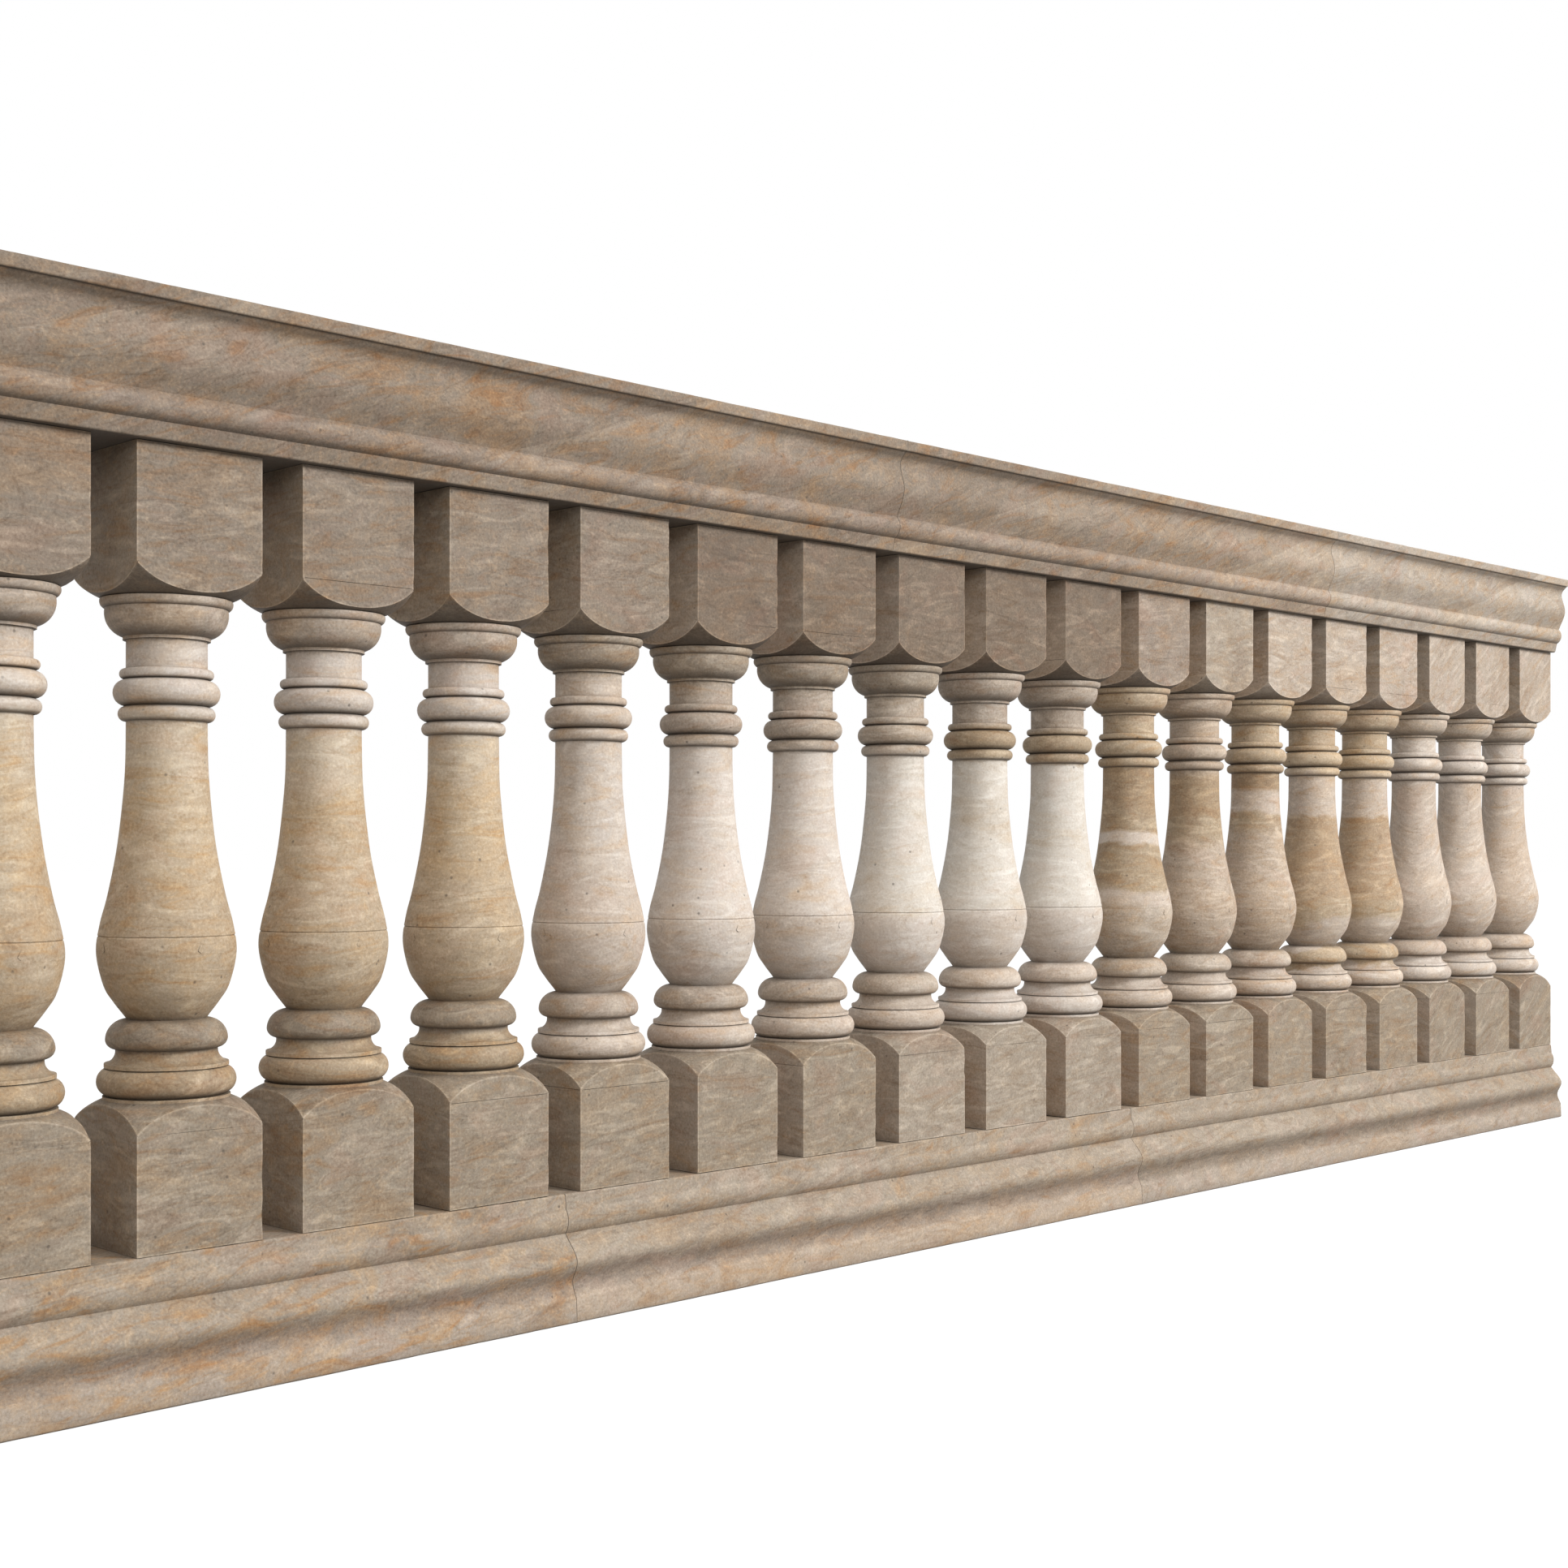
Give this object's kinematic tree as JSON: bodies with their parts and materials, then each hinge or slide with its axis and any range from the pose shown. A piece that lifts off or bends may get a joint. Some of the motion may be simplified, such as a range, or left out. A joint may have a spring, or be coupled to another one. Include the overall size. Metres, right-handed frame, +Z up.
{
  "type": "stone balustrade",
  "caption": "Straight stone balustrade: turned vase balusters with square end blocks between a moulded base and a moulded rail, jointed in long stones.",
  "frame": {"origin": "middle of the base's underside, on the ground", "axes": "+X along the run, from the left end seen from the front to the right; +Y through the balustrade, from front to back; +Z up"},
  "size_m": [3.017, 0.195, 1],
  "materials": {
    "base_stone": "rubbed",
    "baluster_stone": "turned and rubbed",
    "rail_stone": "rubbed"
  },
  "bodies": {
    "root": {"base_stone_1": "base_stone", "base_stone_2": "base_stone", "base_stone_3": "base_stone", "baluster_01": "baluster_stone", "baluster_02": "baluster_stone", "baluster_03": "baluster_stone", "baluster_04": "baluster_stone", "baluster_05": "baluster_stone", "baluster_06": "baluster_stone", "baluster_07": "baluster_stone", "baluster_08": "baluster_stone", "baluster_09": "baluster_stone", "baluster_10": "baluster_stone", "baluster_11": "baluster_stone", "baluster_12": "baluster_stone", "baluster_13": "baluster_stone", "baluster_14": "baluster_stone", "baluster_15": "baluster_stone", "baluster_16": "baluster_stone", "baluster_17": "baluster_stone", "baluster_18": "baluster_stone", "rail_stone_1": "rail_stone", "rail_stone_2": "rail_stone", "rail_stone_3": "rail_stone"}
  },
  "joints": []
}
